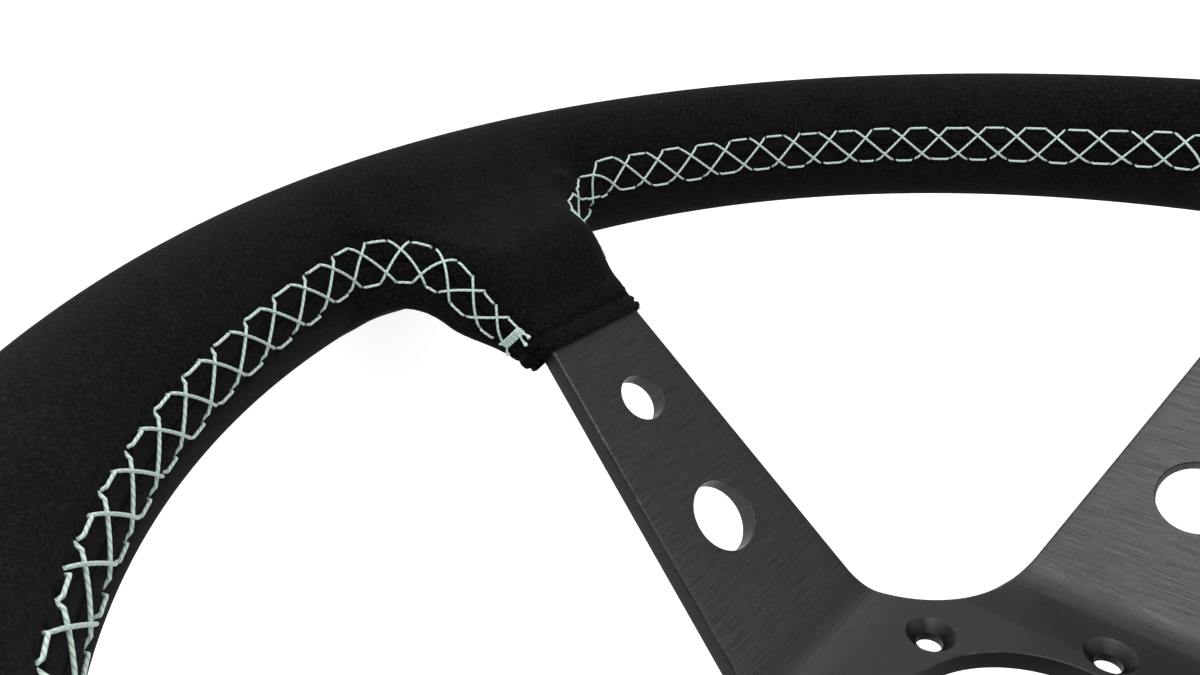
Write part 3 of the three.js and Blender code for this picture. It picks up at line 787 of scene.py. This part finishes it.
def cut(mesh, faces, point, normal):
    """Splits the faces along a plane given in the wheel's own plane."""
    world_point = Vector(to_world([point])[0])
    world_normal = Vector((normal[0], -normal[2], normal[1]))
    geometry = list({v for f in faces for v in f.verts} | {e for f in faces for e in f.edges}) + list(faces)
    bmesh.ops.bisect_plane(mesh, geom=geometry, dist=1e-6, plane_co=world_point, plane_no=world_normal)


def local(co):
    return np.array([co.x, co.z, -co.y]) / MM


def middle(face):
    return local(face.calc_center_median())


def suede_body(cell):
    reach = RIM_R + GRIP_HALF_WIDTH + 3
    low = (-reach, -reach, PLATE_HALF + (SLEEVE_END - 5) * SIN - 7)
    high = (reach, reach, RIM_Z + GRIP_HALF_DEPTH + 3)
    points, quads = surface_net(grip_distance, low, high, cell)
    points = onto(grip_distance, relax(onto(grip_distance, points), quads, 3))
    return points, quads


def trim_sleeves(mesh):
    """Cuts each sleeve square at its end and opens it for the plate."""
    for spoke in SPOKES:
        x, y = spoke.place(SLEEVE_OUT, spoke.centre(SLEEVE_END))
        point = (x, y, PLATE_HALF + SLEEVE_END * SIN)
        normal = (spoke.cos * COS, spoke.sin * COS, SIN)

        def over(p):
            return float(np.dot(p - point, normal))

        def near(p):
            out, across = spoke.frame(p[0], p[1])
            return out > 85 and abs(across - spoke.centre(SLEEVE_END)) < 24 and over(p) < 4

        cut(mesh, [f for f in mesh.faces if near(middle(f))], point, normal)
        gone = [v for v in mesh.verts if near(local(v.co)) and over(local(v.co)) < -1e-3]
        bmesh.ops.delete(mesh, geom=gone, context="VERTS")


def outward_and_around(angle):
    turn = math.radians(angle)
    return (
        np.array([math.cos(turn), math.sin(turn), 0]), np.array([-math.sin(turn), math.cos(turn), 0]),
    )


def cut_panels(mesh):
    for angle in BUTT_SEAMS:
        outward, around = outward_and_around(angle)

        def near(p):
            return abs(np.dot(p, around)) < 4 and np.dot(p, outward) > 0

        for shift in (0, 0.5, -0.5, 1.1, -1.1):
            cut(mesh, [f for f in mesh.faces if near(middle(f))], around * shift, around)


def seam_values(points):
    """(row, stitch count) of each point on the suede, far away values where no seam is near."""
    row = np.full(len(points), 9.0)
    count = np.zeros(len(points))
    best = np.full(len(points), 14.0**2)
    for seam in SEAMS:
        apart, pick = nearest(points, seam.points)
        use = apart < best
        best[use], pick = apart[use], pick[use]
        offset = points[use] - seam.points[pick]
        row[use] = (offset * seam.up[pick]).sum(1) / seam.gap[pick]
        along = seam.along[pick] + (offset * seam.ahead[pick]).sum(1)
        count[use] = np.interp(along, seam.along, seam.count)
    return row, count


def sleeve_finish(p):
    """(how far past the sleeve's end, how far the suede is pushed out by tucks and the hem's crease)."""
    hem = np.full(len(p), 40.0)
    push = np.zeros(len(p))
    for spoke in SPOKES:
        _, line, over, across = along_spoke(spoke, *p.T)
        out, wide = spoke.frame(p[:, 0], p[:, 1])
        near = (out > 85) & (np.abs(wide) < 45)
        past = line - SLEEVE_END
        hem[near] = past[near]
        side = near * smooth(np.abs(across) - spoke.half(SLEEVE_END), -2.5, 1)
        rough = side * (1 - smooth(past, 1, 9))
        wrinkle = np.sin(1.9 * line + 1.1 * over + spoke.angle) * np.sin(1.3 * over - 0.8 * line + 1)
        push += rough * (0.95 * wrinkle - 0.1)
        push += side * smooth(-over, -1, 3) * 1.5 * np.exp(-(((past - 1.5) / 3.5) ** 2))
        push -= near * 0.35 * np.exp(-((past - CREASE) / 0.9) ** 2) * (1 - rough)
    return hem, push


def joint_dip(p):
    """How far the suede sinks where two panels meet."""
    sunk = np.zeros(len(p))
    for angle in BUTT_SEAMS:
        outward, around = outward_and_around(angle)
        sunk += 0.55 * np.exp(-((p @ around / 0.7) ** 2)) * (p @ outward > 0)
    return sunk


def build_suede():
    points, quads = suede_body(1.1)
    body = add_mesh("suede_body", points, quads)
    mesh = bmesh.new()
    mesh.from_mesh(body.data)
    bmesh.ops.recalc_face_normals(mesh, faces=mesh.faces)
    trim_sleeves(mesh)
    cut_panels(mesh)
    mesh.to_mesh(body.data)
    mesh.free()
    co = np.empty(len(body.data.vertices) * 3)
    body.data.vertices.foreach_get("co", co)
    co = co.reshape(-1, 3)
    p = np.stack([co[:, 0], co[:, 2], -co[:, 1]], axis=1) / MM
    row, count = seam_values(p)
    hem, push = sleeve_finish(p)
    push -= joint_dip(p)
    push -= 0.35 * np.exp(-((row / 0.22) ** 2))
    push -= 0.3 * np.exp(-((np.abs(row) - 1) / 0.25) ** 2) * (np.abs(row) < 3)
    p = p + unit(gradient(grip_distance, p)) * push[:, None]
    body.data.vertices.foreach_set("co", to_world(p).ravel())
    add_values(body.data, "row", row)
    add_values(body.data, "stitch", count)
    add_values(body.data, "hem", hem)
    return body


def split_panels(body):
    first, top, last = BUTT_SEAMS
    ranges = {
        "suede_upper_right": (first, top, "suede_panel_upper_right"),
        "suede_upper_left": (top, last, "suede_panel_upper_left"),
        "suede_lower": (last, first + 360, "suede_panel_lower"),
    }
    panels = {}
    for name, (start, end, node) in ranges.items():
        def outside(face):
            x, y, _ = middle(face)
            angle = math.degrees(math.atan2(y, x)) % 360
            return not (start < angle < end or start < angle + 360 < end)

        mesh = bmesh.new()
        mesh.from_mesh(body.data)
        bmesh.ops.delete(mesh, geom=[f for f in mesh.faces if outside(f)], context="FACES")
        data = bpy.data.meshes.new(name)
        mesh.to_mesh(data)
        mesh.free()
        data.shade_smooth()
        panel = new_object(name, data)
        skin = panel.modifiers.new("thickness", "SOLIDIFY")
        skin.thickness = SUEDE * MM
        skin.offset = -1
        dress(panel, SUEDE_LOOK, node)
        panels[name] = panel
    bpy.data.objects.remove(body)
    return panels


# ---- Foam under the suede ----

def foam_distance(p):
    d = grip_distance(p) + SUEDE + 0.35
    radial, z = np.hypot(p[..., 0], p[..., 1]) - RIM_R, p[..., 2]
    ring = np.maximum(np.abs(radial) - RING_HALF_WIDTH, np.abs(z - RIM_Z) - RING_HALF_THICKNESS) - 0.6
    d = np.maximum(d, -ring)
    for spoke in SPOKES:
        foot, line, over, across = along_spoke(spoke, p[..., 0], p[..., 1], z)
        near = foot > 80
        slab = np.maximum(np.abs(over) - PLATE_HALF, np.abs(across) - spoke.half(SLEEVE_END)) - 0.6
        slab = np.maximum(slab, foot - TAB_END - 0.6)
        d = np.where(near, np.maximum(d, -slab), d)
        d = np.where(near & (line < SLEEVE_END + 9), np.maximum(d, SLEEVE_END + 9 - line), d)
        for side in (-1, 1):
            low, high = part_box(f"rivet_{spoke.name}_{1 if side < 0 else 2}")
            at = (low + high) / 2 / MM
            shaft = np.hypot(p[..., 0] - at.x, p[..., 1] - at.z) - 4.8
            shaft = np.maximum(shaft, np.abs(z + at.y) - (high.y - low.y) / 2 / MM - 0.6)
            d = np.maximum(d, -shaft)
    return d


def build_foam():
    reach = RIM_R + GRIP_HALF_WIDTH
    low = (-reach, -reach, RIM_Z - GRIP_HALF_DEPTH - 12)
    high = (reach, reach, RIM_Z + GRIP_HALF_DEPTH + 1)
    points, quads = surface_net(foam_distance, low, high, 2.6)
    foam = add_mesh("foam_core", points, quads)
    dress(foam, FOAM_LOOK, "foam_grip")


# ---- Spoke plate ----

# Half the width of the strip of the flat plate that folds with one spoke
SPOKE_ZONE = 40


def fillet(corner, before, after, radius):
    """Points round a corner of an outline."""
    corner, before, after = map(np.asarray, (corner, before, after))
    if radius == 0:
        return [corner]
    a, b = unit(before - corner), unit(after - corner)
    half = math.acos(float(np.clip(a @ b, -1, 1))) / 2
    centre = corner + unit(a + b) * radius / math.sin(half)
    start = corner + a * radius / math.tan(half) - centre
    finish = corner + b * radius / math.tan(half) - centre
    sweep = math.atan2(start[0] * finish[1] - start[1] * finish[0], start @ finish)
    points = []
    for t in np.linspace(0, 1, max(3, int(abs(sweep) * radius / 1.2))):
        c, s = math.cos(sweep * t), math.sin(sweep * t)
        points.append(centre + np.array([start[0] * c - start[1] * s, start[0] * s + start[1] * c]))
    return points


def flat_edge(spoke, side):
    lengths = np.array([0, SLEEVE_END, RISE_LENGTH, RISE_LENGTH + TAB_END - SECOND_BEND])
    across = spoke.centre(lengths) + side * spoke.half(lengths)
    return np.stack(spoke.place(BEND + lengths, across), axis=1)


def meet(a, b, c, d):
    ab, cd, ac = b - a, d - c, c - a
    t = (ac[0] * cd[1] - ac[1] * cd[0]) / (ab[0] * cd[1] - ab[1] * cd[0])
    return a + ab * t


def even_loop(points, step):
    points = np.asarray(points)
    out = []
    for a, b in zip(points, np.roll(points, -1, axis=0)):
        n = max(1, int(math.ceil(np.linalg.norm(b - a) / step)))
        out += [a + (b - a) * i / n for i in range(n)]
    out = np.array(out)
    keep = np.linalg.norm(out - np.roll(out, 1, axis=0), axis=1) > 1e-3
    return out[keep]


def plate_outline():
    edges = {(s.name, side): flat_edge(s, side) for s in SPOKES for side in (-1, 1)}
    corners = []

    def valley(a, b):
        corners.append((meet(a[1], a[0], b[0], b[1]), VALLEY_RADIUS))

    def spoke_end(spoke):
        corners.extend((p, 0) for p in edges[spoke.name, -1][1:])
        corners.extend((p, 0) for p in edges[spoke.name, 1][:0:-1])

    spoke_end(BOTTOM)
    valley(edges["bottom", 1], edges["right", -1])
    spoke_end(RIGHT)
    corners.extend(((x, y), radius) for x, y, radius in BOSS_CORNERS)
    corners.extend(((-x, y), radius) for x, y, radius in BOSS_CORNERS[::-1])
    spoke_end(LEFT)
    valley(edges["left", 1], edges["bottom", -1])
    loop = []
    for i, (corner, radius) in enumerate(corners):
        loop += fillet(corner, corners[i - 1][0], corners[(i + 1) % len(corners)][0], radius)
    return even_loop(loop, 1.2)


def circle(x, y, radius, step):
    count = max(24, int(TAU * radius / step))
    turns = TAU * np.arange(count) / count
    return np.stack([x + radius * np.cos(turns), y + radius * np.sin(turns)], axis=1)


def rounded(front, back, steps=4):
    """Insets and heights down an edge that is rounded at its front and back."""
    turns = np.linspace(0, math.pi / 2, steps)
    rows = [(front * (1 - math.sin(a)), PLATE_HALF - front * (1 - math.cos(a))) for a in turns]
    rows += [(back * (1 - math.sin(a)), -PLATE_HALF + back * (1 - math.cos(a))) for a in turns[::-1]]
    return rows


def inward(loop):
    """Each point's direction into the material; loops run anticlockwise round what they bound."""
    ahead = unit(np.roll(loop, -1, axis=0) - np.roll(loop, 1, axis=0))
    return np.stack([-ahead[:, 1], ahead[:, 0]], axis=1)


def hole_list():
    holes = [(circle(0, 0, CENTRE_HOLE, 1.2), rounded(0.45, 0.3))]
    sink = [(2.45, PLATE_HALF), (2.36, PLATE_HALF - 0.04), (2.3, PLATE_HALF - 0.14)]
    sink += [(0.12, -0.02), (0.03, -0.08), (0.0, -0.2), (0.0, -1.9), (0.3, -PLATE_HALF)]
    for turn in TAU * np.arange(BOLT_COUNT) / BOLT_COUNT:
        x, y = BOLT_CIRCLE * math.cos(turn), BOLT_CIRCLE * math.sin(turn)
        holes.append((circle(x, y, BOLT_HOLE, 0.4), sink))
    for spoke in SPOKES:
        for length, radius in ((spoke.large_hole, LARGE_HOLE), (SMALL_HOLE_AT, SMALL_HOLE)):
            x, y = spoke.place(BEND + length, spoke.centre(length))
            holes.append((circle(x, y, radius, 0.7), rounded(0.3, 0.25)))
    return holes


def grain(points):
    """(run, across, weight, direction) of the brushing at points of the flat plate."""
    run, across = points[:, 1].copy(), points[:, 0].copy()
    weight = np.zeros(len(points))
    line = np.tile([1.0, 0.0, 0.0], (len(points), 1))
    for number, spoke in enumerate(SPOKES):
        out, side = spoke.frame(points[:, 0], points[:, 1])
        length = out - BEND
        share = smooth(length, -17, 9)
        better = (length > -17) & (np.abs(side) < SPOKE_ZONE) & (share > weight)
        weight[better] = share[better]
        run[better] = (length + 200 * number)[better]
        across[better] = side[better]
        line[better] = (-spoke.sin, spoke.cos, 0)
    return run, across, weight, line


def bend(points, over):
    """The flat plate's points folded up."""
    folded = np.stack([points[:, 0], points[:, 1], PLATE_HALF + over], axis=1)
    for spoke in SPOKES:
        out, across = spoke.frame(points[:, 0], points[:, 1])
        length = out - BEND
        on = (length > -BEND_REACH) & (np.abs(across) < SPOKE_ZONE)
        first = RISE * np.clip((length + BEND_REACH) / (2 * BEND_REACH), 0, 1)
        second = RISE * np.clip((RISE_LENGTH + SECOND_REACH - length) / (2 * SECOND_REACH), 0, 1)
        turn = np.minimum(first, second)
        stages = [
            length < BEND_REACH, length < RISE_LENGTH - SECOND_REACH, length < RISE_LENGTH + SECOND_REACH,
        ]
        path_out = np.select(
            stages,
            [BEND - BEND_REACH + BEND_RADIUS * np.sin(turn), BEND + length * COS,
             SECOND_BEND + SECOND_REACH - SECOND_RADIUS * np.sin(turn)],
            SECOND_BEND + length - RISE_LENGTH,
        )
        path_up = np.select(
            stages,
            [PLATE_HALF + BEND_RADIUS * (1 - np.cos(turn)), PLATE_HALF + length * SIN,
             TAB_Z - SECOND_RADIUS * (1 - np.cos(turn))],
            TAB_Z,
        )
        x, y = spoke.place(path_out - over * np.sin(turn), across)
        z = path_up + over * np.cos(turn)
        folded[on] = np.stack([x, y, z], axis=1)[on]
    return folded


def within(points, loop):
    """Which points lie inside a closed loop."""
    hit = np.zeros(len(points), bool)
    for (ax, ay), (bx, by) in zip(loop, np.roll(loop, -1, axis=0)):
        if ay == by:
            continue
        crosses = (ay > points[:, 1]) != (by > points[:, 1])
        hit ^= crosses & (points[:, 0] < (bx - ax) * (points[:, 1] - ay) / (by - ay) + ax)
    return hit


def in_plate(points, outline, holes):
    keep = within(points, outline)
    for loop in holes:
        keep &= ~within(points, loop)
    return keep


def inside_points(outline, holes, step):
    """A grid of points in the flat plate, closer together where it bends."""
    spans = np.arange(-200, 200, step)
    grid = [np.stack(np.meshgrid(spans, spans), axis=-1).reshape(-1, 2)]
    far = np.ones(len(grid[0]), bool)
    for spoke in SPOKES:
        out, across = spoke.frame(grid[0][:, 0], grid[0][:, 1])
        for at, size in ((BEND, BEND_REACH), (BEND + RISE_LENGTH, SECOND_REACH)):
            far &= ~((np.abs(out - at) < size + 1) & (np.abs(across) < SPOKE_ZONE))
            rows, lines = np.meshgrid(np.linspace(-size, size, 11), np.arange(-36, 36, step))
            grid.append(np.stack(spoke.place(at + rows.ravel(), lines.ravel()), axis=1))
    grid[0] = grid[0][far]
    p = np.concatenate(grid)
    keep = in_plate(p, outline, holes)
    for loop in [outline, *holes]:
        keep &= nearest(p, loop)[0] > 1.1**2
    return p[keep]


def flat_face(outline, holes, step):
    loops = [outline, *holes]
    extra = inside_points(outline, holes, step)
    points = np.concatenate([*loops, extra])
    edges, start = [], 0
    for loop in loops:
        n = len(loop)
        edges += [(start + i, start + (i + 1) % n) for i in range(n)]
        start += n
    co, _, faces, _, _, _ = delaunay_2d_cdt([Vector(p) for p in points], edges, [], 0, 1e-6)
    co = np.array([tuple(v) for v in co])
    centres = np.array([co[list(f)].mean(0) for f in faces])
    keep = in_plate(centres, outline, holes)
    return co, [f for f, kept in zip(faces, keep) if kept]


def build_plate():
    outline = plate_outline()
    outline_rows = rounded(0.75, 0.5)
    loops = [(outline, inward(outline), outline_rows)]
    for loop, rows in hole_list():
        loops.append((loop, -inward(loop), rows))
    flat, over, edge, faces = [], [], [], []

    def put(points, height, worn):
        start = sum(map(len, flat))
        flat.append(points)
        over.append(np.full(len(points), height))
        edge.append(np.full(len(points), worn))
        return start

    for index, height in ((0, PLATE_HALF), (-1, -PLATE_HALF)):
        rings = [loop + way * rows[index][0] for loop, way, rows in loops]
        points, triangles = flat_face(rings[0], rings[1:], 3.2)
        start = put(points, height, 0.0)
        for f in triangles:
            f = [start + i for i in f]
            faces.append(f if height > 0 else f[::-1])
    for loop, way, rows in loops:
        starts = []
        for n, (inset, height) in enumerate(rows):
            worn = 1.0 if n in (1, 2, len(rows) - 3, len(rows) - 2) else 0.0
            starts.append(put(loop + way * inset, height, worn))
        outer = way is loops[0][1]
        for a, b in zip(starts, starts[1:]):
            for i in range(len(loop)):
                j = (i + 1) % len(loop)
                quad = [a + i, b + i, b + j, a + j]
                faces.append(quad if outer else quad[::-1])
    flat, over, edge = np.concatenate(flat), np.concatenate(over), np.concatenate(edge)
    run, side, weight, line = grain(flat)
    plate = add_mesh("brushed_spoke_plate", bend(flat, over), faces, False)
    # wall marks the plate's side walls and hole walls, which the material darkens as painted shade and
    # gives weaker grain.
    wall = smooth(PLATE_HALF - np.abs(over), 0.05, 0.6)
    weight = (0.3 + 0.7 * weight) * (1 - 0.75 * wall)
    values = {"grain_run": run, "grain_across": side, "grain_weight": weight, "edge": edge, "wall": wall}
    for name, value in values.items():
        add_values(plate.data, name, value)
    add_vectors(plate.data, "grain_line", np.stack([line[:, 0], -line[:, 2], line[:, 1]], axis=1))
    mesh = bmesh.new()
    mesh.from_mesh(plate.data)
    bmesh.ops.remove_doubles(mesh, verts=mesh.verts, dist=2e-6)
    bmesh.ops.recalc_face_normals(mesh, faces=mesh.faces)
    mesh.to_mesh(plate.data)
    mesh.free()
    plate.data.shade_smooth()
    plate.data.set_sharp_from_angle(angle=math.radians(40))
    plate.modifiers.new("flat_faces", "WEIGHTED_NORMAL").keep_sharp = True
    dress(plate, PLATE_LOOK, "spoke_plate")
    return plate


# ---- Threads ----

def thread_piece(name, groups, node):
    points, faces, run, turn = [], [], [], []
    for paths, radii in groups:
        p, f, along, around = tubes(paths, radii)
        start = sum(map(len, points))
        points.append(p)
        faces += [[start + i for i in face] for face in f]
        run.append(along)
        turn.append(around)
    piece = add_mesh(name, np.concatenate(points), faces)
    add_values(piece.data, "run", np.concatenate(run))
    add_values(piece.data, "turn", np.concatenate(turn))
    dress(piece, THREAD_LOOK, node)
    return piece


def build_seam(seam):
    wraps, tails = wrap_paths(seam)
    t = np.linspace(0, 1, tails.shape[1])
    knob = THREAD_RADIUS * (0.9 + 0.9 * smooth(t, 0.45, 0.85)) * (1 - 0.75 * smooth(t, 0.9, 1.0))
    groups = [(stitch_paths(seam), THREAD_RADIUS), (wraps, THREAD_RADIUS), (tails, knob)]
    return thread_piece(f"stitches_{seam.name}", groups, f"seam_thread_{seam.name}")


def build_butt_seam(number, angle):
    """Small slanting stitches over a butt joint, round all of the grip but its inner side."""
    outward, around = outward_and_around(angle)
    t = THREAD_STEPS
    paths = []
    for section in np.linspace(-0.79, 0.79, 27) * math.pi:
        sections = section + 0.035 * (t - 0.5)
        centre = outward * (RIM_R + GRIP_HALF_WIDTH * np.cos(sections))[:, None]
        centre[:, 2] = RIM_Z + GRIP_HALF_DEPTH * np.sin(sections)
        points = centre + around * (2.6 * (t - 0.5))[:, None]
        paths.append(onto(grip_distance, points, 0.22 - 0.7 * dip(0.15) + RNG.normal(0, 0.03)))
    return thread_piece(
        f"butt_stitches_{number}", [(np.array(paths), 0.27)], f"butt_seam_thread_{number}"
    )


# ---- Stage, lights and build ----


def build_stage():
    mesh = bpy.data.meshes.new("studio_floor")
    made = bmesh.new()
    bmesh.ops.create_grid(made, x_segments=12, y_segments=12, size=6.0)
    made.to_mesh(mesh)
    made.free()
    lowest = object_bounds()[0][2]
    floor = new_object("studio_floor", mesh)
    floor.location = (0, 0, lowest)
    mesh.materials.append(floor_material())


def soft_light(name, at, power):
    """A large square light, aimed at the origin."""
    data = bpy.data.lights.new(name, "AREA")
    data.shape = "RECTANGLE"
    data.size = data.size_y = 1.4
    data.energy = power
    light = new_object(name, data)
    light.location = at
    light.rotation_euler = (-Vector(at)).to_track_quat("-Z", "Y").to_euler()


def build_lights():
    world = bpy.data.worlds.new("studio")
    world.use_nodes = True
    background = world.node_tree.nodes["Background"].inputs
    background["Color"].default_value = (1, 1, 1, 1)
    background["Strength"].default_value = 0.4
    bpy.context.scene.world = world
    soft_light("front_softbox", (0.7, -1.7, 0.35), 21)
    soft_light("overhead_softbox", (-0.4, -0.5, 1.6), 12)
    bpy.context.scene.view_settings.view_transform = "Standard"


def finish_hidden_metal():
    for name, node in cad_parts.items():
        if name == "rim_core_ring" or name.startswith("rivet_"):
            node.data.materials.clear()
            node.data.materials.append(RAW_LOOK)


build_plate()
suede_panels = split_panels(build_suede())
build_foam()
for seam in SEAMS:
    build_seam(seam)
for number, angle in enumerate(BUTT_SEAMS, 1):
    build_butt_seam(number, angle)
finish_hidden_metal()
build_stage()
build_lights()
